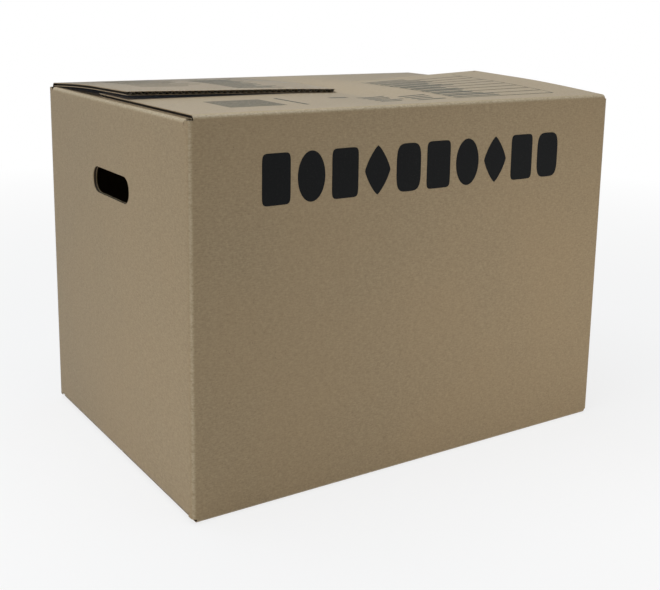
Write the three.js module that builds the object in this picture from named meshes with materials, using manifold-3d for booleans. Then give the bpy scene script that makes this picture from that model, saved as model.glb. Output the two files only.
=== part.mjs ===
// A moving box: one blank of single-wall corrugated board, folded square and glued.
// Its two long top flaps are deeper than half the box. They overlap in the middle and are
// locked together without tape: a slot divides the back flap's free edge, its left half lies
// over the front flap, and its right half is tucked under it.
// Millimetres, +Z up, length along X, origin at the centre of the underside.

import * as THREE from 'three';
import { mergeGeometries, mergeVertices } from 'three/addons/utils/BufferGeometryUtils.js';
import Module from 'manifold-3d';

const wasm = await Module();
wasm.setup();

// Outside sizes of the closed box, to the creases.
const boxLength = 545;
const boxWidth = 390;
const boxHeight = 400;

// Corrugated board, and the outer radius of a scored fold.
const board = 4;
const creaseRadius = 5;
const layerGap = 0.4; // air between two flaps that lie loose on each other
const glueBite = 0.2; // how far two glued boards press into each other

// Flaps, each measured from the outside of the wall that it hangs on.
const topFlapDepth = 235;
const bottomSeam = 2; // gap between the long bottom flaps, down the middle of the underside
const endFlapGap = 1.5; // beside an end flap, between it and the corner's upright board

// The lock of the two long top flaps. Heights are over the flaps' creases.
const lockSlotWidth = 22;
const lockSlotLeft = -12; // the slot's left side
const lockSlotSpare = 2; // the slot runs this far past the front flap's free edge
const rampSpare = 6; // a flap is at full height this far before the other's free edge
const flatStart = 1; // a long flap leaves its crease level for this far
const flapJoin = 0.5; // how far the flap's bent slab runs into its crease's board
const twistSpread = 0.5; // how fast the bend beside the slot widens towards the crease
const frontFlapLift = 12.7; // at the front flap's free right corner, growing evenly from the slot
const backFlapLift = 4.1; // at the back flap's free left corner, over the flap below it
const liftPower = 1.25; // the back flap's lift grows by this power of the distance from the slot
const centreDip = 1.2; // the flaps hang down this far beside the slot, where nothing carries them
const dipSpread = 40;
const endFlapDroop = 2.3; // the end flaps are pressed down this far at their free edges

// Hand holes, one through each end wall.
const handHoleWidth = 102;
const handHoleHeight = 29;
const handHoleRadius = 13;
const handHoleDrop = 94; // from the top of the box to the middle of the hole

// The glue tab, folded from the right end wall and glued inside the back wall.
const tabWidth = 35;
const tabSetback = 15; // from the top and bottom of the box at the tab's root
const tabTaper = 10; // how much shorter the tab is at its tip, at each end
const backEdgeInset = 1; // the back wall's cut edge stops this far inside the end wall's face
const backEdgeLap = 1; // the strip at that edge starts this far inside the back wall's plate

// Flutes, open as cells along the long top flaps' free edges.
const flutePitch = 7.5;
const liner = 0.7; // board left above and below a cell
const cellDepth = 6;

const arcSteps = 3; // half the number of straight steps in a quarter turn
const sideSteps = 14; // straight steps in a bent flap: along it on each side of the slot,
const slotSteps = 6; // along it over the slot,
const rampSteps = 8; // from its crease to full height,
const edgeSteps = 4; // and from there to its free edge

const bottomFlapDepth = (boxWidth - bottomSeam) / 2;
const halfLength = boxLength / 2;
const halfWidth = boxWidth / 2;
const longWallWidth = boxLength - 2 * creaseRadius;
const cornerLeg = creaseRadius + board + 1; // board on each side of a corner, from its outside
const endWallWidth = boxWidth - 2 * (creaseRadius + board);
const endFlapWidth = boxWidth - 2 * (cornerLeg + endFlapGap);
const wallJoin = board / 2; // how far a wall's plate stays short of its creases
const endCrown = boxHeight - board - layerGap; // top face of the end flaps, under the long flaps
const endKeel = board - glueBite; // under face of the bottom end flaps, glued on the long ones

const mergeWithin = 0.002; // edges shorter than this, left by the joins, are closed up

// Takes a closed three.js geometry as a solid.
function toSolid(geometry) {
  geometry.deleteAttribute('uv');
  geometry.deleteAttribute('normal');
  const merged = mergeVertices(geometry, 1e-4);
  return new wasm.Manifold(new wasm.Mesh({
    numProp: 3,
    vertProperties: new Float32Array(merged.attributes.position.array),
    triVerts: new Uint32Array(merged.index.array),
  }));
}

function extrude(shape, depth) {
  return new THREE.ExtrudeGeometry(shape, { depth, bevelEnabled: false, curveSegments: arcSteps });
}

function rectangle(x0, y0, x1, y1) {
  const shape = new THREE.Shape();
  shape.moveTo(x0, y0);
  shape.lineTo(x1, y0);
  shape.lineTo(x1, y1);
  shape.lineTo(x0, y1);
  return shape;
}

// Runs a wall's section, drawn as (inwards, up), along the width of a wall whose outer face
// is `offset` from the middle. Quarter turns: 0 front, 1 right end, 2 back, 3 left end.
function alongWall(shape, width, offset, quarterTurns, upsideDown = false) {
  const geometry = extrude(shape, width);
  geometry.translate(0, 0, -width / 2);
  geometry.applyMatrix4(new THREE.Matrix4().makeBasis(
    new THREE.Vector3(0, 1, 0),
    new THREE.Vector3(0, 0, 1),
    new THREE.Vector3(1, 0, 0),
  ));
  geometry.translate(0, -offset, 0);
  if (upsideDown) {
    geometry.rotateY(Math.PI);
    geometry.translate(0, 0, boxHeight);
  }
  geometry.rotateZ(quarterTurns * Math.PI / 2);
  return toSolid(geometry);
}

// Section of board that rises from `foot`, turns inwards over a crease and lies flat
// with its top face at `crown`, out to `reach` from the wall's outer face, where it has drooped.
function foldSection(foot, crown, reach, droop = 0) {
  const centre = crown - creaseRadius;
  const shape = new THREE.Shape();
  shape.moveTo(0, foot);
  shape.lineTo(0, centre);
  shape.absarc(creaseRadius, centre, creaseRadius, Math.PI, Math.PI / 2, true);
  shape.lineTo(reach, crown - droop);
  shape.lineTo(reach, crown - droop - board);
  shape.lineTo(creaseRadius, crown - board);
  shape.absarc(creaseRadius, centre, creaseRadius - board, Math.PI / 2, Math.PI, false);
  shape.lineTo(board, foot);
  return shape;
}

// A vertical corner of the box: two short legs of wall joined by a rounded fold.
function corner(x, y, quarterTurns, low, high) {
  const shape = new THREE.Shape();
  shape.moveTo(-cornerLeg, 0);
  shape.lineTo(-creaseRadius, 0);
  shape.absarc(-creaseRadius, -creaseRadius, creaseRadius, Math.PI / 2, 0, true);
  shape.lineTo(0, -cornerLeg);
  shape.lineTo(-board, -cornerLeg);
  shape.lineTo(-board, -creaseRadius);
  shape.absarc(-creaseRadius, -creaseRadius, creaseRadius - board, 0, Math.PI / 2, false);
  shape.lineTo(-cornerLeg, -board);
  const geometry = extrude(shape, high - low);
  geometry.rotateZ(quarterTurns * Math.PI / 2);
  geometry.translate(x, y, low);
  return toSolid(geometry);
}

// Even steps from one value to another, both included.
function steps(from, to, count) {
  return Array.from({ length: count + 1 }, (_, i) => from + (to - from) * i / count);
}

const flapOverlap = 2 * topFlapDepth - boxWidth;
const flapRun = topFlapDepth - creaseRadius; // from the end of the crease to the free edge
const rampRun = flapRun - flapOverlap - rampSpare;
const lockHalf = lockSlotWidth / 2;
const lockSlotRight = lockSlotLeft + lockSlotWidth;
const flapSide = longWallWidth / 2;
const layer = board + layerGap;

// Height of the front flap where the flaps overlap: a dip beside the slot, an even climb right of it.
function frontLevel(x) {
  const climb = frontFlapLift * Math.max(0, x - lockSlotLeft) / (flapSide - lockSlotLeft);
  return climb - centreDip * Math.exp(-(((x - lockSlotLeft) / dipSpread) ** 2));
}

// Height of the back flap there: over the front flap left of the slot, under it right of the slot.
// `out` runs from the flap's crease to its free edge; short of the slot one half bends into the other.
function backLevel(x, out) {
  const lift = backFlapLift * (Math.max(0, lockSlotLeft - x) / (flapSide + lockSlotLeft)) ** liftPower;
  const over = frontLevel(x) + layer + lift;
  const under = Math.min(0, frontLevel(x) - layer);
  const bend = lockHalf + twistSpread * Math.max(0, rampRun - out);
  const middle = lockSlotLeft + lockHalf;
  return THREE.MathUtils.lerp(over, under, THREE.MathUtils.smoothstep(x, middle - bend, middle + bend));
}

// Height of a long flap at `out` from its crease: one layer is climbed before the other flap's
// free edge, by a quarter sine, and the rest evenly out to the flap's own free edge.
function flapRise(level, out) {
  const run = Math.max(0, out - flatStart);
  const ramp = Math.sin(Math.PI / 2 * Math.min(1, run / (rampRun - flatStart)));
  return Math.min(level, layer) * ramp + Math.max(0, level - layer) * run / (flapRun - flatStart);
}

function backHeight(across, out) {
  return flapRise(backLevel(-across, out), out);
}

function frontHeight(across, out) {
  return flapRise(frontLevel(across), out);
}

// The open ends of the flutes at a long flap's free edge: triangular cells, point up and point
// down in turn, cut between the liners. None is cut beside the slot's edges.
function fluteCells(height, slotEdges) {
  const cellHeight = board - 2 * liner;
  const count = Math.floor((longWallWidth - flutePitch) / flutePitch) * 2;
  const middle = boxHeight - board / 2;
  const cells = [];
  for (let i = 0; i < count; i += 1) {
    const across = (i - (count - 1) / 2) * flutePitch / 2;
    if (slotEdges.every((edge) => Math.abs(across - edge) > flutePitch)) {
      const up = i % 2 === 0 ? 1 : -1;
      const shape = new THREE.Shape();
      shape.moveTo(-cellHeight, -up * cellHeight / 2);
      shape.lineTo(cellHeight, -up * cellHeight / 2);
      shape.lineTo(0, up * cellHeight / 2);
      const cell = extrude(shape, cellDepth + board);
      cell.rotateX(Math.PI / 2);
      cell.translate(across, topFlapDepth - halfWidth + board, middle + height(across, flapRun));
      cells.push(cell);
    }
  }
  return mergeGeometries(cells);
}

// A long top flap beyond its crease: a bent slab of board with open flutes at its free edge.
// Made as the front flap, by its height; a half turn makes it the back one.
function longTopFlap(height, slotEdges) {
  const [slotStart, slotEnd] = slotEdges;
  const columns = [...steps(-flapSide, slotStart, sideSteps),
    ...steps(slotStart, slotEnd, slotSteps).slice(1, -1), ...steps(slotEnd, flapSide, sideSteps)];
  const rows = [(flatStart - flapJoin) / 2, ...steps(flatStart, rampRun, rampSteps),
    ...steps(rampRun, flapRun, edgeSteps).slice(1)];
  const positions = [];
  for (const drop of [0, board]) {
    for (const out of rows) {
      for (const across of columns) {
        positions.push(across, out + creaseRadius - halfWidth, boxHeight - drop + height(across, out));
      }
    }
  }
  const perLayer = rows.length * columns.length;
  const at = (row, column, layerIndex) => layerIndex * perLayer + row * columns.length + column;
  const indices = [];
  const quad = (a, b, c, d) => indices.push(a, b, c, a, c, d);
  const lastRow = rows.length - 1;
  const lastColumn = columns.length - 1;
  for (let r = 0; r < lastRow; r += 1) {
    for (let c = 0; c < lastColumn; c += 1) {
      quad(at(r, c, 0), at(r, c + 1, 0), at(r + 1, c + 1, 0), at(r + 1, c, 0));
      quad(at(r, c, 1), at(r + 1, c, 1), at(r + 1, c + 1, 1), at(r, c + 1, 1));
    }
    quad(at(r, 0, 0), at(r + 1, 0, 0), at(r + 1, 0, 1), at(r, 0, 1));
    quad(at(r, lastColumn, 1), at(r + 1, lastColumn, 1), at(r + 1, lastColumn, 0), at(r, lastColumn, 0));
  }
  for (let c = 0; c < lastColumn; c += 1) {
    quad(at(0, c, 1), at(0, c + 1, 1), at(0, c + 1, 0), at(0, c, 0));
    quad(at(lastRow, c, 0), at(lastRow, c + 1, 0), at(lastRow, c + 1, 1), at(lastRow, c, 1));
  }
  const slab = new THREE.BufferGeometry();
  slab.setAttribute('position', new THREE.Float32BufferAttribute(positions, 3));
  slab.setIndex(indices);
  return toSolid(slab).subtract(toSolid(fluteCells(height, slotEdges)));
}

// The long wall on one side: wall, bottom flap and top crease in one run of board.
function longSide(quarterTurns) {
  const middle = boxHeight / 2;
  const upper = foldSection(middle - board, boxHeight, creaseRadius + (flatStart + flapJoin) / 2);
  const lower = foldSection(middle - board, boxHeight, bottomFlapDepth);
  return alongWall(upper, longWallWidth, halfWidth, quarterTurns)
    .add(alongWall(lower, longWallWidth, halfWidth, quarterTurns, true));
}

function frontSide() {
  return longSide(0).add(longTopFlap(frontHeight, [lockSlotLeft, lockSlotRight]));
}

// The back side's flap has the slot, from its free edge to just past the front flap's.
function backSide() {
  const flap = longTopFlap(backHeight, [-lockSlotRight, -lockSlotLeft]);
  const frontEdge = topFlapDepth - halfWidth;
  const slot = extrude(
    rectangle(lockSlotLeft, -frontEdge - board, lockSlotRight, frontEdge + lockSlotSpare),
    8 * board,
  );
  slot.translate(0, 0, boxHeight - 4 * board);
  return longSide(2).add(flap.rotate([0, 0, 180]).subtract(toSolid(slot)));
}

function handHole(quarterTurns) {
  const z = boxHeight - handHoleDrop;
  const across = handHoleWidth / 2;
  const up = handHoleHeight / 2;
  const r = Math.min(handHoleRadius, up);
  const shape = new THREE.Shape();
  shape.absarc(across - r, z + up - r, r, 0, Math.PI / 2, false);
  shape.absarc(r - across, z + up - r, r, Math.PI / 2, Math.PI, false);
  shape.absarc(r - across, z - up + r, r, Math.PI, 1.5 * Math.PI, false);
  shape.absarc(across - r, z - up + r, r, 1.5 * Math.PI, 2 * Math.PI, false);
  const geometry = extrude(shape, 3 * board);
  geometry.applyMatrix4(new THREE.Matrix4().makeBasis(
    new THREE.Vector3(0, 1, 0),
    new THREE.Vector3(0, 0, 1),
    new THREE.Vector3(1, 0, 0),
  ));
  geometry.translate(halfLength - 2 * board, 0, 0);
  geometry.rotateZ((quarterTurns - 1) * Math.PI / 2);
  return toSolid(geometry);
}

// An end: wall with its hand hole, and the flaps that fold in under the long ones.
function endSide(quarterTurns) {
  const wall = rectangle(0, endKeel + creaseRadius + wallJoin, board, endCrown - creaseRadius - wallJoin);
  const topFlap = foldSection(endCrown - creaseRadius - board, endCrown, topFlapDepth, endFlapDroop);
  const keelCrown = boxHeight - endKeel;
  const bottomFlap = foldSection(keelCrown - creaseRadius - board, keelCrown, bottomFlapDepth);
  return alongWall(wall, endWallWidth, halfLength, quarterTurns)
    .add(alongWall(topFlap, endFlapWidth, halfLength, quarterTurns))
    .add(alongWall(bottomFlap, endFlapWidth, halfLength, quarterTurns, true))
    .subtract(handHole(quarterTurns));
}

// The glued corner, back right: the end wall turns in behind the back wall and ends in a tab.
function gluedCorner() {
  const inner = halfWidth - board + glueBite;
  const fold = corner(halfLength, inner, 0, endKeel + creaseRadius, endCrown - creaseRadius);
  const backStrip = rectangle(
    halfLength - creaseRadius - backEdgeLap,
    halfWidth - board,
    halfLength - backEdgeInset,
    halfWidth,
  );
  const backEdge = extrude(backStrip, boxHeight - 2 * creaseRadius);
  backEdge.translate(0, 0, creaseRadius);
  const root = halfLength - creaseRadius;
  const tip = halfLength - tabWidth;
  const outline = new THREE.Shape();
  outline.moveTo(root, tabSetback);
  outline.lineTo(root, boxHeight - tabSetback);
  outline.lineTo(tip, boxHeight - tabSetback - tabTaper);
  outline.lineTo(tip, tabSetback + tabTaper);
  const tab = extrude(outline, board);
  tab.rotateX(Math.PI / 2);
  tab.translate(0, inner, 0);
  return fold.add(toSolid(backEdge)).add(toSolid(tab));
}

function foldedCarton() {
  const low = creaseRadius;
  const high = boxHeight - creaseRadius;
  return frontSide()
    .add(backSide())
    .add(endSide(1))
    .add(endSide(3))
    .add(corner(-halfLength, halfWidth, 1, low, high))
    .add(corner(-halfLength, -halfWidth, 2, low, high))
    .add(corner(halfLength, -halfWidth, 3, low, high))
    .add(gluedCorner());
}

function toGeometry(solid) {
  const mesh = solid.simplify(mergeWithin).getMesh();
  const geometry = new THREE.BufferGeometry();
  geometry.setAttribute('position', new THREE.BufferAttribute(mesh.vertProperties.slice(), 3));
  geometry.setIndex(new THREE.BufferAttribute(mesh.triVerts.slice(), 1));
  geometry.computeVertexNormals();
  return geometry;
}

const kraftBoard = new THREE.MeshStandardMaterial({
  color: 0xa8895f, roughness: 0.85, metalness: 0, flatShading: true,
});
const carton = new THREE.Mesh(toGeometry(foldedCarton()), kraftBoard);
carton.name = 'carton';

const group = new THREE.Group();
group.add(carton);

export default group;
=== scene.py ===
import math
import bpy
import numpy as np
from mathutils import Matrix, Vector


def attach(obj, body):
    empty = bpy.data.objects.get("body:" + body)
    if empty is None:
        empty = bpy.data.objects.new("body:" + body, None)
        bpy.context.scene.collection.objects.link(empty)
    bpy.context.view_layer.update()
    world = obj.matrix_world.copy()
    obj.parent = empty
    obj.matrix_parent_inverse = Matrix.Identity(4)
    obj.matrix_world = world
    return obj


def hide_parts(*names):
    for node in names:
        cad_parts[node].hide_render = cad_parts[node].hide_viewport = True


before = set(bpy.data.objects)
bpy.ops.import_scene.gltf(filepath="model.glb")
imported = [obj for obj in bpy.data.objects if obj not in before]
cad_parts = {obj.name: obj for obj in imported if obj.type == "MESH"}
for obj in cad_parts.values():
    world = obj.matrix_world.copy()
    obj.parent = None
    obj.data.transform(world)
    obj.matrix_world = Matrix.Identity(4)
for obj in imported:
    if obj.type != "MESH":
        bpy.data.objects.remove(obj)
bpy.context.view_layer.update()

# The folded carton: one blank of single-wall corrugated board, printed flat, then die-cut, scored,
# folded round four corners and glued down one of them. Its long top flaps cross at the middle.
# The walls, creases and flaps below are one skin of outer liner with an inner liner behind it.

MM = 0.001
LENGTH, WIDTH, HEIGHT = 545.0, 390.0, 400.0
BOARD = 4.0
LINER, CRUSHED_LINER = 0.3, 0.8  # where the flutes stand open, and where the knife crushed the board
FOLD_RADIUS, FOLD_STEPS = 5.0, 6
LAYER_GAP = 0.4  # air between two flaps that lie loose on each other
GLUE_GAP = 0.1
TOP_FLAP, BOTTOM_FLAP = 235.0, 194.0
CORNER_LEG = FOLD_RADIUS + BOARD + 1.0
END_FLAP_GAP = 1.5
SLOT_LEFT, SLOT_RIGHT = -12.0, 10.0
SLOT_SPARE = 2.0  # the slot runs this far past the front flap's free edge
FRONT_LIFT, BACK_LIFT, LIFT_POWER = 12.7, 4.1, 1.25  # at the long flaps' lifted corners
CENTRE_DIP, DIP_SPREAD = 1.2, 40.0  # the long flaps hang beside the slot
END_DROOP = 2.3  # the end flaps hang at their free edges
RAMP_SPARE = 6.0  # a flap is one layer up this far before the other's free edge
FLAT_START = 1.0  # a long flap leaves its crease level for this far
TWIST_SPREAD = 0.5  # how fast the bend beside the slot widens towards the crease
HOLE_WIDE, HOLE_HIGH, HOLE_CORNER = 102.0, 29.0, 13.0
HOLE_UP = HEIGHT - 94.0
PATCH_HALF_WIDE, PATCH_HALF_HIGH = 72.0, 36.0  # the piece of wall round a hand hole
PATCH_RINGS, RING_CROWDING = 6, 1.4
TAB, TAB_SETBACK = 35.0, 15.0
BACK_EDGE = 1.0  # the back wall's cut edge stops this far inside the right end's face
FLUTE_PITCH = 7.5
CUT_RECESS, HOLE_RECESS, OPEN_RECESS = 4.0, 0.7, 9.0  # depth of the groove between the liners
SWAY, SWAY_MEAN, SWAY_WAVE = 0.9, 0.55, 0.35
SWAY_ACROSS, SWAY_UP, SWAY_START = 7.1, 5.3, 1.3  # the slow wave's turn over a wall, in radians
CELL, HIDDEN_CELL = 8.0, 24.0  # longest step of the grid, and of the flaps inside and underneath
WELD = 0.02  # points nearer than this are one
SHARP_ANGLE = math.radians(35)

LAYER = BOARD + LAYER_GAP
FLAP_RUN = TOP_FLAP - FOLD_RADIUS
FLAP_OVERLAP = 2 * TOP_FLAP - WIDTH
RAMP_RUN = FLAP_RUN - FLAP_OVERLAP - RAMP_SPARE
SLOT_ROOT = FLAP_RUN - FLAP_OVERLAP - SLOT_SPARE
LONG_SIDE = LENGTH / 2 - FOLD_RADIUS
END_CROWN = HEIGHT - LAYER
END_KEEL = BOARD + GLUE_GAP
END_FLAP_HALF = WIDTH / 2 - CORNER_LEG - END_FLAP_GAP
TAB_LINE = WIDTH / 2 - BOARD - GLUE_GAP


def front_level(x):
    """Height of the front flap where the flaps overlap, in mm over its crease: an even climb right of
    the slot, less a dip beside it, CENTRE_DIP exp(-((x - SLOT_LEFT) / DIP_SPREAD)^2)."""
    climb = FRONT_LIFT * np.maximum(0.0, x - SLOT_LEFT) / (LONG_SIDE - SLOT_LEFT)
    return climb - CENTRE_DIP * np.exp(-((x - SLOT_LEFT) / DIP_SPREAD) ** 2)


def back_level(x, out):
    """Height of the back flap there: one layer over the front flap left of the slot, one under it on the
    right, with a smooth step 3t^2 - 2t^3 between the two that widens from the slot to the crease."""
    lift = BACK_LIFT * (np.maximum(0.0, SLOT_LEFT - x) / (LONG_SIDE + SLOT_LEFT)) ** LIFT_POWER
    over = front_level(x) + LAYER + lift
    under = np.minimum(0.0, front_level(x) - LAYER)
    bend = (SLOT_RIGHT - SLOT_LEFT) / 2 + TWIST_SPREAD * np.maximum(0.0, RAMP_RUN - out)
    t = np.clip((x - (SLOT_LEFT + SLOT_RIGHT) / 2 + bend) / (2 * bend), 0.0, 1.0)
    return over + (under - over) * t * t * (3 - 2 * t)


def flap_rise(turn, x, out):
    """Height of a long top flap over its crease, in mm, at a distance out from it: one layer of its level
    is reached by a quarter sine before the other flap's free edge, and the rest evenly at its own."""
    level = front_level(x) if turn == 0 else back_level(x, out)
    run = np.maximum(0.0, out - FLAT_START)
    ramp = np.sin(np.pi / 2 * np.minimum(1.0, run / (RAMP_RUN - FLAT_START)))
    rest = np.maximum(0.0, level - LAYER) * run / (FLAP_RUN - FLAT_START)
    return np.minimum(level, LAYER) * ramp + rest


def wall_sway(along, up, width):
    """How far a wall stands out of its plane, in mm: a half sine across the wall and up it, nothing at
    its folds, times a slow wave SWAY_MEAN + SWAY_WAVE sin(across) cos(up)."""
    u = np.clip(along / width, 0.0, 1.0)
    low, high = END_KEEL + FOLD_RADIUS, END_CROWN - FOLD_RADIUS
    v = np.clip((up - low) / (high - low), 0.0, 1.0)
    wave = SWAY_MEAN + SWAY_WAVE * np.sin(SWAY_ACROSS * u + SWAY_START) * np.cos(SWAY_UP * v + width)
    return SWAY * np.sin(np.pi * u) * np.sin(np.pi * v) * wave


def spaced(start, stop, cell=CELL):
    """Even steps from start to stop, none longer than a cell."""
    return np.linspace(start, stop, int(np.ceil(abs(stop - start) / cell)) + 1)


def joined(*runs):
    """Runs of values end to end, each shared end kept once."""
    return np.concatenate([runs[0]] + [run[1:] for run in runs[1:]])


quarter = np.linspace(0, np.pi / 2, FOLD_STEPS + 1)
hole_rows = spaced(HOLE_UP - PATCH_HALF_HIGH, HOLE_UP + PATCH_HALF_HIGH)
hole_columns = spaced(-PATCH_HALF_WIDE, PATCH_HALF_WIDE)
rows_up = joined(
    np.array([FOLD_RADIUS, END_KEEL + FOLD_RADIUS]),
    spaced(END_KEEL + FOLD_RADIUS, TAB_SETBACK),
    spaced(TAB_SETBACK, HOLE_UP - PATCH_HALF_HIGH),
    hole_rows,
    spaced(HOLE_UP + PATCH_HALF_HIGH, HEIGHT - TAB_SETBACK),
    spaced(HEIGHT - TAB_SETBACK, END_CROWN - FOLD_RADIUS),
    np.array([END_CROWN - FOLD_RADIUS, HEIGHT - FOLD_RADIUS]),
)
long_columns = joined(
    spaced(-LONG_SIDE, SLOT_LEFT),
    spaced(SLOT_LEFT, SLOT_RIGHT, CELL / 2),
    spaced(SLOT_RIGHT, LONG_SIDE),
)
end_columns = joined(
    np.array([-WIDTH / 2 + FOLD_RADIUS, -WIDTH / 2 + CORNER_LEG, -END_FLAP_HALF]),
    spaced(-END_FLAP_HALF, -PATCH_HALF_WIDE),
    hole_columns,
    spaced(PATCH_HALF_WIDE, END_FLAP_HALF),
    np.array([END_FLAP_HALF, WIDTH / 2 - CORNER_LEG]),
)


def normalised(vectors):
    """Rows of an array as unit vectors, a row of noughts left alone."""
    return vectors / np.maximum(np.linalg.norm(vectors, axis=1, keepdims=True), 1e-9)


class Skin:
    """Patches of outer liner, each a grid of outer points, inner points, cut depths and UVs."""

    def __init__(self):
        self.outer, self.inner, self.cut, self.uv, self.faces = [], [], [], [], []
        self.count = 0

    def add(self, outer, inner, uv, keep=None, cut=CUT_RECESS):
        """Adds a grid and its quads, or only those that keep marks."""
        rows, columns = outer.shape[:2]
        index = self.count + np.arange(rows * columns).reshape(rows, columns)
        quads = np.stack([index[:-1, :-1], index[:-1, 1:], index[1:, 1:], index[1:, :-1]], -1)
        self.faces.append(quads.reshape(-1, 4) if keep is None else quads[keep])
        self.outer.append(outer.reshape(-1, 3))
        self.inner.append(inner.reshape(-1, 3))
        self.uv.append(uv.reshape(-1, 2))
        self.cut.append(np.broadcast_to(cut, (rows, columns)).reshape(-1))
        self.count += rows * columns


skin = Skin()


def lay(plan, out_normal, path, s, v, sway=0.0, **options):
    """Adds a patch whose columns follow a line in plan and whose rows follow a path across it. For each
    row the path gives the way in from the plan's line, the height, and the inward and upward parts of
    the board's normal. The sway moves points out. s and v are lengths on the flat blank."""
    shape = (len(v), len(plan))
    inward, height, in_n, up_n, sway = (np.broadcast_to(part, shape) for part in (*path, sway))
    base = plan[None] - out_normal[None] * inward[:, :, None]
    outer = np.dstack([base + out_normal[None] * sway[:, :, None], height])
    normal = np.dstack([-out_normal[None] * in_n[:, :, None], up_n])
    uv = np.dstack([np.broadcast_to(s, shape), np.broadcast_to(v[:, None], shape)])
    skin.add(outer * MM, (outer - normal * BOARD) * MM, uv * MM, **options)


def wall_rows(plan, out_normal, s, sway=0.0, rows=rows_up, **options):
    """Adds a patch of upright wall over the given rows."""
    lay(plan, out_normal, (0.0, rows[:, None], -1.0, 0.0), s, rows, sway, **options)


def corner_plan(centre, start):
    """A quarter circle of the fold radius, anticlockwise seen from above."""
    angle = start + quarter
    normal = np.stack([np.cos(angle), np.sin(angle)], -1)
    return np.array(centre) + FOLD_RADIUS * normal, normal


def flap_path(crown, cells, upper, droop=0.0):
    """Path of a flap from the wall's crease: a quarter circle, then straight to its free edge, where it
    has drooped. Gives the path's four columns as lay takes them, and the length along it."""
    flat = cells[1:]
    inward = np.concatenate([FOLD_RADIUS - FOLD_RADIUS * np.cos(quarter), FOLD_RADIUS + flat])
    rise = np.concatenate([FOLD_RADIUS * np.sin(quarter) - FOLD_RADIUS, -droop * flat / cells[-1]])
    in_n = np.concatenate([-np.cos(quarter), 0 * flat])
    up_n = np.concatenate([np.sin(quarter), 0 * flat + 1])
    length = np.concatenate([[0.0], np.cumsum(np.hypot(np.diff(inward), np.diff(rise)))])
    if not upper:
        turned = (inward, -rise, in_n, -up_n, -length)
        inward, rise, in_n, up_n, length = (part[::-1] for part in turned)
    return [part[:, None] for part in (inward, crown + rise, in_n, up_n)], crown + length


def long_panel(turn, s0):
    """Front (turn 0) or back (turn 1): bottom flap, wall and long top flap on the same columns. The back
    flap has the slot."""
    side = -1.0 if turn == 0 else 1.0
    columns = long_columns if turn == 0 else -long_columns[::-1]
    x = columns * -side
    plan = np.stack([x, np.full_like(x, side * WIDTH / 2)], -1)
    normal = np.broadcast_to([0.0, side], plan.shape)
    along = columns + LONG_SIDE
    s = s0 + along
    wall_rows(plan, normal, s, wall_sway(along[None], rows_up[:, None], 2 * LONG_SIDE))
    cells = joined(spaced(0, RAMP_RUN), np.array([RAMP_RUN, SLOT_ROOT]), spaced(SLOT_ROOT, FLAP_RUN))
    path, length = flap_path(HEIGHT, cells, True)
    out = np.maximum(0.0, path[0] - FOLD_RADIUS) * np.ones_like(x)
    path[1] = path[1] + np.where(out > 0, flap_rise(turn, x[None], out), 0.0)
    before_slot = (out[1:, 1:] + out[:-1, 1:]) / 2 < SLOT_ROOT
    middle = (x[1:] + x[:-1]) / 2
    beside_slot = (middle < SLOT_LEFT) | (middle > SLOT_RIGHT)
    keep = before_slot | beside_slot[None] | (turn == 0)
    at_free_edge = out > FLAP_RUN - WELD
    lay(plan, normal, path, s, length, keep=keep, cut=np.where(at_free_edge, OPEN_RECESS, CUT_RECESS))
    path, length = flap_path(0.0, spaced(0, BOTTOM_FLAP - FOLD_RADIUS, HIDDEN_CELL), False)
    lay(plan, normal, path, s, length)


def hand_hole_patch(side, s_mid, run):
    """The wall round a hand hole: rays from the hole's outline, a rounded rectangle, out to the grid."""
    ys, zs = hole_columns, hole_rows
    right_side = np.full(len(zs) - 1, PATCH_HALF_WIDE)
    ring_y = np.concatenate([ys[:-1], right_side, ys[:0:-1], -right_side])
    low_side, high_side = np.full(len(ys) - 1, zs[0]), np.full(len(ys) - 1, zs[-1])
    ring_z = np.concatenate([low_side, zs[:-1], high_side, zs[:0:-1]])
    ring = np.stack([ring_y, ring_z - HOLE_UP], -1)
    hole_half = np.array([HOLE_WIDE / 2, HOLE_HIGH / 2])
    core = hole_half - HOLE_CORNER
    target = ring / np.array([PATCH_HALF_WIDE, PATCH_HALF_HIGH]) * hole_half
    anchor = np.clip(target, -core, core)
    outline = anchor + HOLE_CORNER * normalised(target - anchor)
    closed = np.concatenate([ring, ring[:1]])
    hole = np.concatenate([outline, outline[:1]])
    t = (np.linspace(0, 1, PATCH_RINGS) ** RING_CROWDING)[:, None, None]
    flat = closed[None] * (1 - t) + hole[None] * t
    y, z = flat[:, :, 0], flat[:, :, 1] + HOLE_UP
    out = wall_sway(y * side + WIDTH / 2 - FOLD_RADIUS, z, run)
    outer = np.dstack([side * (LENGTH / 2 + out), y * side, z])
    inner = outer - np.array([side * BOARD, 0, 0])
    skin.add(outer * MM, inner * MM, np.dstack([s_mid + y, z]) * MM, cut=HOLE_RECESS)


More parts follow.
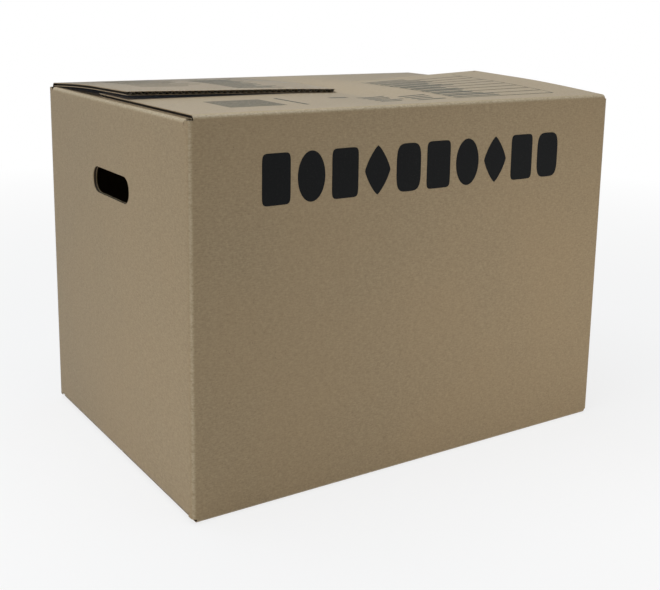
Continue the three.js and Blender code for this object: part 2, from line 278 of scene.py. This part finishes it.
def end_panel(side, s0):
    """Left (side -1) or right (side 1) end: wall with its hand hole, and the flaps that fold in under the
    long ones."""
    last = TAB_LINE - FOLD_RADIUS if side > 0 else WIDTH / 2 - FOLD_RADIUS
    columns = np.append(end_columns, last)
    y = columns * side
    plan = np.stack([np.full_like(y, side * LENGTH / 2), y], -1)
    normal = np.broadcast_to([side * 1.0, 0.0], plan.shape)
    along = columns + WIDTH / 2 - FOLD_RADIUS
    s = s0 + along
    across = np.abs(columns[1:] + columns[:-1]) / 2
    up = (rows_up[1:] + rows_up[:-1]) / 2
    hole = (across < PATCH_HALF_WIDE)[None] & (np.abs(up - HOLE_UP) < PATCH_HALF_HIGH)[:, None]
    below_crease = (up > END_KEEL + FOLD_RADIUS) & (up < END_CROWN - FOLD_RADIUS)
    keep = ~hole & (below_crease[:, None] | (across > WIDTH / 2 - CORNER_LEG)[None])
    wall_rows(plan, normal, s, wall_sway(along[None], rows_up[:, None], along.max()), keep=keep)
    hand_hole_patch(side, s0 + WIDTH / 2 - FOLD_RADIUS, along.max())
    flap = np.abs(columns) <= END_FLAP_HALF + WELD
    top = flap_path(END_CROWN, spaced(0, TOP_FLAP - FOLD_RADIUS, HIDDEN_CELL), True, END_DROOP)
    bottom = flap_path(END_KEEL, spaced(0, BOTTOM_FLAP - FOLD_RADIUS, HIDDEN_CELL), False)
    for path, length in (top, bottom):
        lay(plan[flap], normal[flap], path, s[flap], length)


arc = FOLD_RADIUS * quarter
long_run, end_run, turn_run = 2 * LONG_SIDE, WIDTH - 2 * FOLD_RADIUS, FOLD_RADIUS * np.pi / 2
edge_x = np.array([LENGTH / 2 - BACK_EDGE, LONG_SIDE])
edge_plan = np.stack([edge_x, np.full(2, WIDTH / 2)], -1)
wall_rows(edge_plan, np.array([[0.0, 1.0], [0.0, 1.0]]), LONG_SIDE - edge_x)
long_panel(1, 0.0)
s = long_run
wall_rows(*corner_plan((-LONG_SIDE, WIDTH / 2 - FOLD_RADIUS), np.pi / 2), s + arc)
s = s + turn_run
end_panel(-1.0, s)
s = s + end_run
wall_rows(*corner_plan((-LONG_SIDE, FOLD_RADIUS - WIDTH / 2), np.pi), s + arc)
s = s + turn_run
long_panel(0, s)
s = s + long_run
wall_rows(*corner_plan((LONG_SIDE, FOLD_RADIUS - WIDTH / 2), 1.5 * np.pi), s + arc)
s = s + turn_run
end_panel(1.0, s)
s = s + end_run
below_flaps = (rows_up > END_KEEL + FOLD_RADIUS - WELD) & (rows_up < END_CROWN - FOLD_RADIUS + WELD)
tab_corner = corner_plan((LONG_SIDE, TAB_LINE - FOLD_RADIUS), 0.0)
wall_rows(*tab_corner, s + arc, rows=rows_up[below_flaps])
s = s + turn_run
beside_tab = (rows_up > TAB_SETBACK - WELD) & (rows_up < HEIGHT - TAB_SETBACK + WELD)
tab_x = spaced(LONG_SIDE, LENGTH / 2 - TAB)
tab_plan = np.stack([tab_x, np.full_like(tab_x, TAB_LINE)], -1)
tab_normal = np.broadcast_to([0.0, 1.0], tab_plan.shape)
wall_rows(tab_plan, tab_normal, s + LONG_SIDE - tab_x, rows=rows_up[beside_tab])


def linear(colour):
    """A hex sRGB colour as linear red, green, blue and alpha: each channel to the power 2.4 past the toe."""
    channels = np.array([int(colour[i:i + 2], 16) for i in (1, 3, 5)]) / 255
    curved = np.where(channels <= 0.04045, channels / 12.92, ((channels + 0.055) / 1.055) ** 2.4)
    return (*curved.tolist(), 1.0)


def add(tree, kind, settings=None, **links):
    """Adds a node, with settings by property, socket name or socket number, and links given as
    socket=source. A link's socket number follows an underscore. A Mix node's colours are 6 and 7."""
    node = tree.nodes.new(kind)
    for key, value in (settings or {}).items():
        if isinstance(key, str) and hasattr(node, key):
            setattr(node, key, value)
        else:
            node.inputs[key].default_value = value
    for key, source in links.items():
        numbered = key[0] == "_" and key[1:].isdigit()
        socket = node.inputs[int(key[1:]) if numbered else key.replace("_", " ")]
        tree.links.new(source, socket)
    return node


def new_material(name):
    """An empty node material with its Principled shader, joined to the output."""
    material = bpy.data.materials.new(name)
    material.use_nodes = True
    tree = material.node_tree
    tree.nodes.clear()
    shader = tree.nodes.new("ShaderNodeBsdfPrincipled")
    output = tree.nodes.new("ShaderNodeOutputMaterial")
    tree.links.new(shader.outputs[0], output.inputs[0])
    return material, tree, shader


def grains(size):
    """Noise scale at which one grain is as wide as the given size in mm."""
    return 1 / (size * MM)


KRAFT_DARK, KRAFT_PALE, KRAFT_WARM = "#9a8565", "#b6a17e", "#b29872"
# The fold colour is a painted highlight along the creases, partly also liner scuffed paler there.
BARK, FOLD_HIGHLIGHT_AND_RUB, FIBRE_SHEEN = "#6b573e", "#cdbd9f", "#b6d2f0"
FIBRE_LONG, FIBRE_WIDE, MOTTLE, SPECK, CLOUD = 6.0, 1.1, 2.4, 1.7, 110.0


def kraft_liner():
    """Unbleached kraft liner: matte brown paper, pressed on the flutes, with faint stripes at the flutes'
    pitch where the glue lines pull it in. On the folds it is mixed towards a paler colour: a painted
    highlight along each crease, partly also liner scuffed paler there. A sheen of loose fibres greys it when
    it is seen along the sheet. Its fibre bundles lie across the flutes. They and the mottle are drawn about
    three times coarser than real ones, which are too fine to show."""
    material, tree, shader = new_material("kraft_liner")
    place = add(tree, "ShaderNodeTexCoord").outputs
    fibre_scale = (grains(FIBRE_LONG), grains(FIBRE_WIDE), 1.0)
    fibre_map = add(tree, "ShaderNodeMapping", {"Scale": fibre_scale}, Vector=place["UV"])
    fibres = add(tree, "ShaderNodeTexNoise", {"Scale": 1.0, "Detail": 3.0, "Roughness": 0.65},
                 Vector=fibre_map.outputs[0])
    clouds = add(tree, "ShaderNodeTexNoise", {"Scale": grains(CLOUD), "Detail": 2.0}, Vector=place["Object"])
    mottle = add(tree, "ShaderNodeTexNoise", {"Scale": grains(MOTTLE), "Detail": 3.0, "Roughness": 0.7},
                 Vector=place["Object"])
    specks = add(tree, "ShaderNodeTexNoise", {"Scale": grains(SPECK), "Detail": 1.0}, Vector=place["Object"])
    grain = add(tree, "ShaderNodeMath", {"operation": "ADD"}, _0=fibres.outputs[0], _1=mottle.outputs[0])
    tone = add(tree, "ShaderNodeMapRange", {"From Min": 0.7, "From Max": 1.3}, _0=grain.outputs[0])
    paper = add(tree, "ShaderNodeMix", {"data_type": "RGBA", 6: linear(KRAFT_DARK), 7: linear(KRAFT_PALE)},
                _0=tone.outputs[0])
    drift = add(tree, "ShaderNodeMapRange", {"From Min": 0.35, "From Max": 0.65, "To Max": 0.22},
                _0=clouds.outputs[0])
    warm = add(tree, "ShaderNodeMix", {"data_type": "RGBA", 7: linear(KRAFT_WARM)},
               _0=drift.outputs[0], _6=paper.outputs[2])
    speck = add(tree, "ShaderNodeMapRange", {"From Min": 0.70, "From Max": 0.76, "To Max": 0.45},
                _0=specks.outputs[0])
    bark = add(tree, "ShaderNodeMix", {"data_type": "RGBA", 7: linear(BARK)},
               _0=speck.outputs[0], _6=warm.outputs[2])
    # Painted highlight on the folds, partly scuffed liner: the colour turns to the fold colour where the
    # fold attribute, cubed and scaled by the grain, is high.
    fold = add(tree, "ShaderNodeAttribute", {"attribute_name": "fold"}).outputs["Fac"]
    fold_crest = add(tree, "ShaderNodeMath", {"operation": "POWER", 1: 3.0}, _0=fold)
    worn = add(tree, "ShaderNodeMath", {"operation": "MULTIPLY"}, _0=fold_crest.outputs[0], _1=tone.outputs[0])
    folded = add(tree, "ShaderNodeMix", {"data_type": "RGBA", 7: linear(FOLD_HIGHLIGHT_AND_RUB)},
                 _0=worn.outputs[0], _6=bark.outputs[2])
    tree.links.new(folded.outputs[2], shader.inputs["Base Color"])
    across = add(tree, "ShaderNodeSeparateXYZ", _0=place["UV"])
    phase = add(tree, "ShaderNodeMath", {"operation": "MULTIPLY", 1: 2 * math.pi / (FLUTE_PITCH * MM)},
                _0=across.outputs[0])
    flutes = add(tree, "ShaderNodeMath", {"operation": "SINE"}, _0=phase.outputs[0])
    pressed = add(tree, "ShaderNodeMath", {"operation": "MULTIPLY", 1: 0.35}, _0=flutes.outputs[0])
    relief = add(tree, "ShaderNodeMath", {"operation": "ADD"}, _0=pressed.outputs[0], _1=grain.outputs[0])
    bump = add(tree, "ShaderNodeBump", {"Strength": 0.35, "Distance": 0.1 * MM}, Height=relief.outputs[0])
    tree.links.new(bump.outputs[0], shader.inputs["Normal"])
    shader.inputs["Roughness"].default_value = 0.6
    shader.inputs["Specular IOR Level"].default_value = 0.5
    shader.inputs["Sheen Weight"].default_value = 1.0
    shader.inputs["Sheen Roughness"].default_value = 0.15
    shader.inputs["Sheen Tint"].default_value = linear(FIBRE_SHEEN)
    return material


TUFT = 1.1


def cut_board(name, dark, pale):
    """Cut or rolled paper seen end on: torn fibre ends, in tufts of about a millimetre."""
    material, tree, shader = new_material(name)
    place = add(tree, "ShaderNodeTexCoord").outputs
    torn = add(tree, "ShaderNodeTexNoise", {"Scale": grains(TUFT), "Detail": 3.0}, Vector=place["Object"])
    tone = add(tree, "ShaderNodeMix", {"data_type": "RGBA", 6: linear(dark), 7: linear(pale)},
               _0=torn.outputs[0])
    tree.links.new(tone.outputs[2], shader.inputs["Base Color"])
    bump = add(tree, "ShaderNodeBump", {"Strength": 0.5, "Distance": 0.2 * MM}, Height=torn.outputs[0])
    tree.links.new(bump.outputs[0], shader.inputs["Normal"])
    shader.inputs["Roughness"].default_value = 0.85
    return material


# The groove between the liners at every cut gets a near-black colour: partly the darker cut fibres, partly
# painted shade standing in for the hollows between the liners.
liner_paper = kraft_liner()
cut_edge_and_groove_shade = cut_board("cut_edge_and_painted_shade", "#2a2119", "#4a3c2c")


def to_object(name, points, faces, materials, material_index=None, uv=None):
    """Puts arrays of points and quads into a mesh object, smooth but for its sharp edges."""
    mesh = bpy.data.meshes.new(name)
    mesh.vertices.add(len(points))
    mesh.vertices.foreach_set("co", np.ascontiguousarray(points, np.float32).ravel())
    mesh.loops.add(faces.size)
    mesh.loops.foreach_set("vertex_index", faces.astype(np.int32).ravel())
    mesh.polygons.add(len(faces))
    mesh.polygons.foreach_set("loop_start", np.arange(0, faces.size, 4, dtype=np.int32))
    for material in materials:
        mesh.materials.append(material)
    if material_index is not None:
        mesh.polygons.foreach_set("material_index", material_index.astype(np.int32))
    if uv is not None:
        layer = mesh.uv_layers.new(name="board")
        layer.data.foreach_set("uv", uv[faces.ravel()].astype(np.float32).ravel())
    mesh.polygons.foreach_set("use_smooth", np.ones(len(faces), bool))
    mesh.update()
    mesh.validate()
    mesh.set_sharp_from_angle(angle=SHARP_ANGLE)
    made = bpy.data.objects.new(name, mesh)
    bpy.context.scene.collection.objects.link(made)
    return made


def welded(patches):
    """Outer points, inner points, cut depths, UVs and quads of all the patches. Points nearer than WELD
    become one, and points of no quad are left out."""
    parts = [np.concatenate(part) for part in (patches.outer, patches.inner, patches.cut, patches.uv)]
    key = np.round(parts[0] / (WELD * MM)).astype(np.int64)
    _, first, same = np.unique(key, axis=0, return_index=True, return_inverse=True)
    faces = same.reshape(-1)[np.concatenate(patches.faces)]
    used, renumbered = np.unique(faces, return_inverse=True)
    return [part[first[used]] for part in parts] + [renumbered.reshape(-1, 4)]


def rim_of(faces):
    """The edges that only one quad has, each in that quad's direction."""
    ring = np.concatenate([faces[:, [i, (i + 1) % 4]] for i in range(4)])
    _, number, count = np.unique(np.sort(ring, 1), axis=0, return_inverse=True, return_counts=True)
    return ring[count[number.reshape(-1)] == 1]


def board_object(name, patches):
    """Joins the patches, adds the inner liner behind, and closes every cut edge: each liner's edge, then a
    groove between them as deep as the point's cut depth, measured into the board. The knife crushes the
    liners towards each other, except where the flutes stand open. The attribute fold is 1 halfway round
    a fold and 0 on flat board: twice the product of the two parts of the board's normal."""
    outer, inner, cut, uv, faces = welded(patches)
    rim = rim_of(faces)
    edge = np.unique(rim)
    through = inner - outer
    unit = normalised(through)
    towards = np.zeros_like(outer)
    corners = faces.ravel()
    np.add.at(towards, corners, np.repeat(outer[faces].mean(1), 4, 0) - outer[corners])
    towards = normalised(towards - unit * (towards * unit).sum(1, keepdims=True))
    lip = np.where(cut[edge] == OPEN_RECESS, LINER, CRUSHED_LINER)[:, None] / BOARD
    groove = towards[edge] * (cut[edge] * MM)[:, None]
    outer_lip = outer[edge] + through[edge] * lip
    inner_lip = outer[edge] + through[edge] * (1 - lip)
    grooved = [outer_lip, outer_lip + groove, inner_lip + groove, inner_lip]
    points = np.concatenate([outer, inner] + grooved)
    total = len(outer)
    local = np.full(total, -1)
    local[edge] = np.arange(len(edge))
    levels = [rim] + [local[rim] + 2 * total + k * len(edge) for k in range(4)] + [rim + total]
    bands = [np.stack([p[:, 0], q[:, 0], q[:, 1], p[:, 1]], -1) for p, q in zip(levels, levels[1:])]
    quads = np.concatenate([faces, faces[:, ::-1] + total] + bands)
    # The groove faces take the near-black cut material, which is partly painted shade.
    kind = np.repeat([0, 0, 0, 1, 1, 1, 0], [len(faces)] * 2 + [len(rim)] * 5)
    fold = np.abs(unit * np.roll(unit, 1, axis=1)).max(1) * 2
    all_uv = np.concatenate([uv, uv] + [uv[edge]] * 4)
    all_fold = np.concatenate([fold, fold] + [fold[edge]] * 4)
    made = to_object(name, points, quads, [liner_paper, cut_edge_and_groove_shade], kind, all_uv)
    attribute = made.data.attributes.new("fold", "FLOAT", "POINT")
    attribute.data.foreach_set("value", all_fold.astype(np.float32))
    return made


folded_board = board_object("folded_board", skin)
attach(folded_board, "root")
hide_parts("carton")

# The fluted medium, seen end on along the free edges of the two long top flaps: a strip of thin
# paper rolled into waves and glued between the liners. It stops a hair inside the cut.

MEDIUM = 0.3
FLUTE_SWING = (BOARD - 2 * LINER - MEDIUM) / 2
FLUTE_BACK_GAP, FLUTE_EDGE_GAP, FLUTE_SIDE_GAP = 0.4, 0.5, 2.0
STEPS_PER_FLUTE = 10


def flap_point(turn, x, out, lifted=0.0):
    """A point of a long top flap in metres, from its place along the box and out from its crease, and a
    height over its upper face."""
    side = -1.0 if turn == 0 else 1.0
    y = side * (WIDTH / 2 - FOLD_RADIUS - out)
    return np.stack([x, y, HEIGHT + flap_rise(turn, x, out) + lifted], -1) * MM


def closed_sheet(outer, inner):
    """Quads of a closed slab between two grids of the same size."""
    rows, columns = outer.shape[:2]
    index = np.arange(rows * columns).reshape(rows, columns)
    quads = np.stack([index[:-1, :-1], index[:-1, 1:], index[1:, 1:], index[1:, :-1]], -1).reshape(-1, 4)
    loop = np.concatenate([index[0, :-1], index[:-1, -1], index[-1, :0:-1], index[:0:-1, 0]])
    after = np.roll(loop, -1)
    total = rows * columns
    rim = np.stack([loop, loop + total, after + total, after], -1)
    points = np.concatenate([outer.reshape(-1, 3), inner.reshape(-1, 3)])
    return points, np.concatenate([quads, quads[:, ::-1] + total, rim])


def merged(parts):
    """Points and quads of several meshes as one."""
    offset = np.cumsum([0] + [len(points) for points, _ in parts[:-1]])
    quads = np.concatenate([faces + start for (_, faces), start in zip(parts, offset)])
    return np.concatenate([points for points, _ in parts]), quads


def flute_strip(turn, start, stop):
    """A sine wave of medium along the flap, of the flute's pitch and swing, near its free edge."""
    x = np.linspace(start, stop, int((stop - start) / FLUTE_PITCH * STEPS_PER_FLUTE))[None]
    out = np.linspace(FLAP_RUN - OPEN_RECESS + FLUTE_BACK_GAP, FLAP_RUN - FLUTE_EDGE_GAP, 3)[:, None]
    x, out = np.broadcast_arrays(x, out)
    wave = FLUTE_SWING * np.sin(2 * np.pi * x / FLUTE_PITCH) - BOARD / 2
    upper = flap_point(turn, x, out, wave + MEDIUM / 2)
    return closed_sheet(upper, flap_point(turn, x, out, wave - MEDIUM / 2))


fluted_medium = cut_board("fluted_medium", "#8a8272", "#b2aa99")
flute_end = LONG_SIDE - FLUTE_SIDE_GAP
flute_runs = {
    "front_flap_flutes": [flute_strip(0, -flute_end, flute_end)],
    "back_flap_flutes": [
        flute_strip(1, -flute_end, SLOT_LEFT - FLUTE_SIDE_GAP),
        flute_strip(1, SLOT_RIGHT + FLUTE_SIDE_GAP, flute_end),
    ],
}
for name, strips in flute_runs.items():
    medium = to_object(name, *merged(strips), [fluted_medium])
    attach(medium, "root")

# The print: water-based flexo ink, laid on the liner before folding, so it follows the board and
# lets a little of the fibre show. It is plain shapes only: a bold row on the front wall, and
# bars and a ruled table on the flaps. Four numbers are a print's left, right, low and high in plan.

INK_THICK, INK_PROUD, INK_FLECK = 0.06, 0.10, 1.4
BAND_LEFT, BAND_RIGHT, BAND_LOW, BAND_HIGH, BAND_GAP = -197.0, 193.0, 309.0, 360.0, 8.0
BLOCK, SOFT_BLOCK, OVAL, LOZENGE = 9.0, 4.0, 2.0, 1.25
BAND_SHAPES = [BLOCK, OVAL, BLOCK, LOZENGE, SOFT_BLOCK, BLOCK, OVAL, LOZENGE, BLOCK, SOFT_BLOCK]
SHAPE_STEPS = 24
TABLE_LEFT, TABLE_MIDDLE, TABLE_RIGHT, TABLE_LOW, TABLE_HIGH = 64.0, 140.0, 211.0, -166.0, 20.0
STILE, ENTRY_INSET, ENTRY_MARGIN = 1.0, 3.0, 7.0
UPRIGHTS = (-206.0, -141.0, -150.0, -88.0)
NOTE_RULE = (-122.0, -118.0, -153.0, -85.0)
NOTE_DASH = (-61.0, -38.0, -105.0, -97.0)
LEFT_NOTE = (-30.0, 8.0, -156.0, -100.0)
RIGHT_NOTE = (14.0, 54.0, -163.0, -116.0)
BACK_RULES = (-226.0, -134.0, 26.0, 164.0)
BACK_TEXT = (-128.0, -66.0, -16.0, 128.0)


def flexo_ink(name, dark, worn):
    """Flexo ink on kraft: matte, nearly even, thinner where fibres stand proud, in flecks. Real flecks
    are about half as wide and would not show."""
    material, tree, shader = new_material(name)
    place = add(tree, "ShaderNodeTexCoord").outputs
    fibres = add(tree, "ShaderNodeTexNoise", {"Scale": grains(INK_FLECK), "Detail": 3.0, "Roughness": 0.7},
                 Vector=place["Object"])
    thin = add(tree, "ShaderNodeMapRange", {"From Min": 0.52, "From Max": 0.75}, _0=fibres.outputs[0])
    tone = add(tree, "ShaderNodeMix", {"data_type": "RGBA", 6: linear(dark), 7: linear(worn)},
               _0=thin.outputs[0])
    tree.links.new(tone.outputs[2], shader.inputs["Base Color"])
    shader.inputs["Roughness"].default_value = 0.6
    shader.inputs["Specular IOR Level"].default_value = 0.1
    return material


def band_shape(centre, wide, high, power):
    """A filled superellipse on the front wall, a square grid pulled to the radius
    (|cos a / half wide|^n + |sin a / half high|^n)^(-1/n). The power n makes a lozenge near 1, an oval at
    2 and a block at 9."""
    step = np.linspace(-1, 1, SHAPE_STEPS + 1)
    u, v = np.meshgrid(step, step)
    angle = np.arctan2(v, u)
    across, up = np.abs(np.cos(angle) / (wide / 2)), np.abs(np.sin(angle) / (high / 2))
    radius = (across ** power + up ** power) ** (-1 / power)
    share = np.maximum(np.abs(u), np.abs(v)) * radius
    x = centre + share * np.cos(angle)
    z = (BAND_LOW + BAND_HIGH) / 2 + share * np.sin(angle)
    out = WIDTH / 2 + wall_sway(x + LONG_SIDE, z, 2 * LONG_SIDE) + INK_PROUD
    return closed_sheet(np.dstack([x, -out, z]) * MM, np.dstack([x, INK_THICK - out, z]) * MM)


def flap_bar(turn, x0, x1, y0, y1):
    """A filled rectangle of ink on a long top flap, given by its edges on the closed box."""
    side = -1.0 if turn == 0 else 1.0
    x = spaced(x0, x1) if turn == 0 else spaced(x1, x0)
    out = np.sort(WIDTH / 2 - FOLD_RADIUS - np.array([y0, y1]) * side)
    x, out = np.meshgrid(x, spaced(*out))
    return closed_sheet(flap_point(turn, x, out, INK_PROUD), flap_point(turn, x, out, INK_PROUD - INK_THICK))


def rows_of_bars(turn, x0, x1, y0, y1, count, fill, seed=None):
    """Evenly spaced bars along the box, filling the given share of their pitch. With a seed they end at
    different places, between three fifths and the whole of the width."""
    pitch = (y1 - y0) / count
    widths = np.ones(count) if seed is None else np.random.default_rng(seed).uniform(0.6, 1.0, count)
    return [flap_bar(turn, x0, x0 + (x1 - x0) * width, y0 + i * pitch, y0 + (i + fill) * pitch)
            for i, width in enumerate(widths)]


def upright_bars(turn, x0, x1, y0, y1, count, fill):
    """Evenly spaced bars across the flap."""
    pitch = (x1 - x0) / count
    return [flap_bar(turn, x0 + i * pitch, x0 + (i + fill) * pitch, y0, y1) for i in range(count)]


band_ink = flexo_ink("black_flexo_ink", "#090b0d", "#1b1c1c")
fine_ink = flexo_ink("thin_flexo_ink", "#4f5149", "#727268")

band_cell = (BAND_RIGHT - BAND_LEFT + BAND_GAP) / len(BAND_SHAPES)
band = [band_shape(BAND_LEFT + (i + 0.5) * band_cell - BAND_GAP / 2, band_cell - BAND_GAP,
                   BAND_HIGH - BAND_LOW, power) for i, power in enumerate(BAND_SHAPES)]
rules = rows_of_bars(0, TABLE_LEFT, TABLE_RIGHT, TABLE_LOW, TABLE_HIGH, count=9, fill=0.12)
stiles = [flap_bar(0, x, x + STILE, TABLE_LOW, TABLE_HIGH) for x in (TABLE_LEFT, TABLE_RIGHT)]
entries = rows_of_bars(0, TABLE_LEFT + ENTRY_INSET, TABLE_MIDDLE, TABLE_LOW + ENTRY_MARGIN, TABLE_HIGH,
                       count=18, fill=0.4, seed=5)
uprights = upright_bars(0, *UPRIGHTS, count=22, fill=0.5)
notes = [flap_bar(0, *NOTE_RULE), flap_bar(0, *NOTE_DASH)]
notes += rows_of_bars(0, *LEFT_NOTE, count=5, fill=0.4, seed=8)
notes += rows_of_bars(0, *RIGHT_NOTE, count=4, fill=0.4, seed=9)
back_rows = rows_of_bars(1, *BACK_RULES, count=11, fill=0.16, seed=3)
back_rows += rows_of_bars(1, *BACK_TEXT, count=15, fill=0.42, seed=4)

front_band = to_object("front_print_band", *merged(band), [band_ink])
front_rows = rules + stiles + entries + uprights + notes
front_flap_print = to_object("front_flap_print", *merged(front_rows), [fine_ink])
back_flap_print = to_object("back_flap_print", *merged(back_rows), [fine_ink])
for ink in (front_band, front_flap_print, back_flap_print):
    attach(ink, "root")

# The studio: a pale floor under a white surround, one wide soft lamp overhead and to the left, two
# weak cards low in front, and the surround's own light. Seen by the camera, most of the floor's
# colour is plain white, so the background is white and the box's shadow stays as a soft tint.

FLOOR_HALF, FLOOR_DROP = 12.0, 0.3 * MM
SHADOW_NEAR, SHADOW_FAR, NEAR_WHITE = 0.5, 2.0, 0.8
SURROUND_LIGHT = 0.12


def seen_share(tree):
    """1 for rays from the camera and for those that a piece mirrors or lets through, otherwise 0."""
    ray = add(tree, "ShaderNodeLightPath").outputs
    by_piece = add(tree, "ShaderNodeMath", {"operation": "MAXIMUM"},
                   _0=ray["Is Glossy Ray"], _1=ray["Is Transmission Ray"])
    return add(tree, "ShaderNodeMath", {"operation": "MAXIMUM"},
               _0=ray["Is Camera Ray"], _1=by_piece.outputs[0]).outputs[0]


floor_corners = [(-FLOOR_HALF, -FLOOR_HALF), (FLOOR_HALF, -FLOOR_HALF),
                 (FLOOR_HALF, FLOOR_HALF), (-FLOOR_HALF, FLOOR_HALF)]
floor_mesh = bpy.data.meshes.new("floor")
floor_mesh.from_pydata([(x, y, -FLOOR_DROP) for x, y in floor_corners], [], [(0, 1, 2, 3)])
floor = bpy.data.objects.new("floor", floor_mesh)
bpy.context.scene.collection.objects.link(floor)
floor_material, floor_tree, floor_shader = new_material("pale_floor")
floor_shader.inputs["Base Color"].default_value = linear("#f4f3f1")
floor_shader.inputs["Roughness"].default_value = 0.9
floor_shader.inputs["Specular IOR Level"].default_value = 0.0
floor_place = add(floor_tree, "ShaderNodeTexCoord").outputs["Object"]
away = add(floor_tree, "ShaderNodeVectorMath", {"operation": "LENGTH"}, _0=floor_place)
whiteness = add(floor_tree, "ShaderNodeMapRange",
                {"From Min": SHADOW_NEAR, "From Max": SHADOW_FAR, "To Min": NEAR_WHITE},
                _0=away.outputs["Value"])
white_share = add(floor_tree, "ShaderNodeMath", {"operation": "MULTIPLY"},
                  _0=whiteness.outputs[0], _1=seen_share(floor_tree))
plain_white = add(floor_tree, "ShaderNodeEmission", {"Color": linear("#ffffff"), "Strength": 1.0})
floor_mix = add(floor_tree, "ShaderNodeMixShader", _0=white_share.outputs[0],
                _1=floor_shader.outputs[0], _2=plain_white.outputs[0])
floor_output = next(node for node in floor_tree.nodes if node.type == "OUTPUT_MATERIAL")
floor_tree.links.new(floor_mix.outputs[0], floor_output.inputs[0])
floor_mesh.materials.append(floor_material)

world = bpy.data.worlds.new("surround")
bpy.context.scene.world = world
world.use_nodes = True
surround = world.node_tree
surround.nodes.clear()
fill = add(surround, "ShaderNodeBackground", {"Color": linear("#ffffff"), "Strength": SURROUND_LIGHT})
seen = add(surround, "ShaderNodeBackground", {"Color": linear("#ffffff"), "Strength": 1.0})
mix = add(surround, "ShaderNodeMixShader", _0=seen_share(surround), _1=fill.outputs[0], _2=seen.outputs[0])
add(surround, "ShaderNodeOutputWorld", Surface=mix.outputs[0])


def soft_lamp(name, place, target, size, power, colour):
    """A square area lamp in metres and watts, turned towards a point."""
    data = bpy.data.lights.new(name, "AREA")
    data.size = size
    data.energy = power
    data.color = linear(colour)[:3]
    lamp = bpy.data.objects.new(name, data)
    lamp.location = place
    lamp.visible_camera = False
    lamp.rotation_euler = (Vector(target) - Vector(place)).to_track_quat("-Z", "Y").to_euler()
    bpy.context.scene.collection.objects.link(lamp)


soft_lamp("overhead_lamp", place=(-0.3, 0.02, 1.9), target=(0, 0, 0.3),
          size=1.4, power=25.2, colour="#ecf5ff")
soft_lamp("low_left_card", place=(-0.85, -0.25, 0.06), target=(-0.27, -0.1, 0.02),
          size=0.5, power=1.35, colour="#fff8ee")
soft_lamp("low_front_card", place=(0.3, -0.66, 0.05), target=(0.15, -0.19, 0.0),
          size=0.6, power=1.2, colour="#fff6ea")

# The camera: the photograph's place and lens, with a small part of its vertical shift. The angles
# are its turn about the upright axis, its height over the level, and its tilt to one side.

PHOTO_WIDTH, PHOTO_HEIGHT = 660, 590
AZIMUTH, ELEVATION, ROLL = math.radians(-33.84), math.radians(11.29), math.radians(1.07)
FOCAL_PIXELS, CENTRE_X, CENTRE_Y = 1029.0, 342.1, 205.0
EYE = Vector((-0.6694, -1.0372, 0.5046))
SENSOR = 36.0

level_out = Vector((math.sin(AZIMUTH), -math.cos(AZIMUTH), 0)) * math.cos(ELEVATION)
back = level_out + Vector((0, 0, math.sin(ELEVATION)))
level = Vector((math.cos(AZIMUTH), math.sin(AZIMUTH), 0))
upright = back.cross(level)
right = level * math.cos(ROLL) + upright * math.sin(ROLL)
above = back.cross(right)
lens = bpy.data.cameras.new("camera")
lens.sensor_width = SENSOR
lens.lens = FOCAL_PIXELS / PHOTO_WIDTH * SENSOR
lens.shift_x = (PHOTO_WIDTH / 2 - CENTRE_X) / PHOTO_WIDTH
lens.shift_y = (CENTRE_Y - PHOTO_HEIGHT / 2) / PHOTO_WIDTH
camera = bpy.data.objects.new("camera", lens)
camera.matrix_world = Matrix.Translation(EYE) @ Matrix((right, above, back)).transposed().to_4x4()
bpy.context.scene.collection.objects.link(camera)
bpy.context.scene.camera = camera
bpy.context.scene.view_settings.view_transform = "Standard"
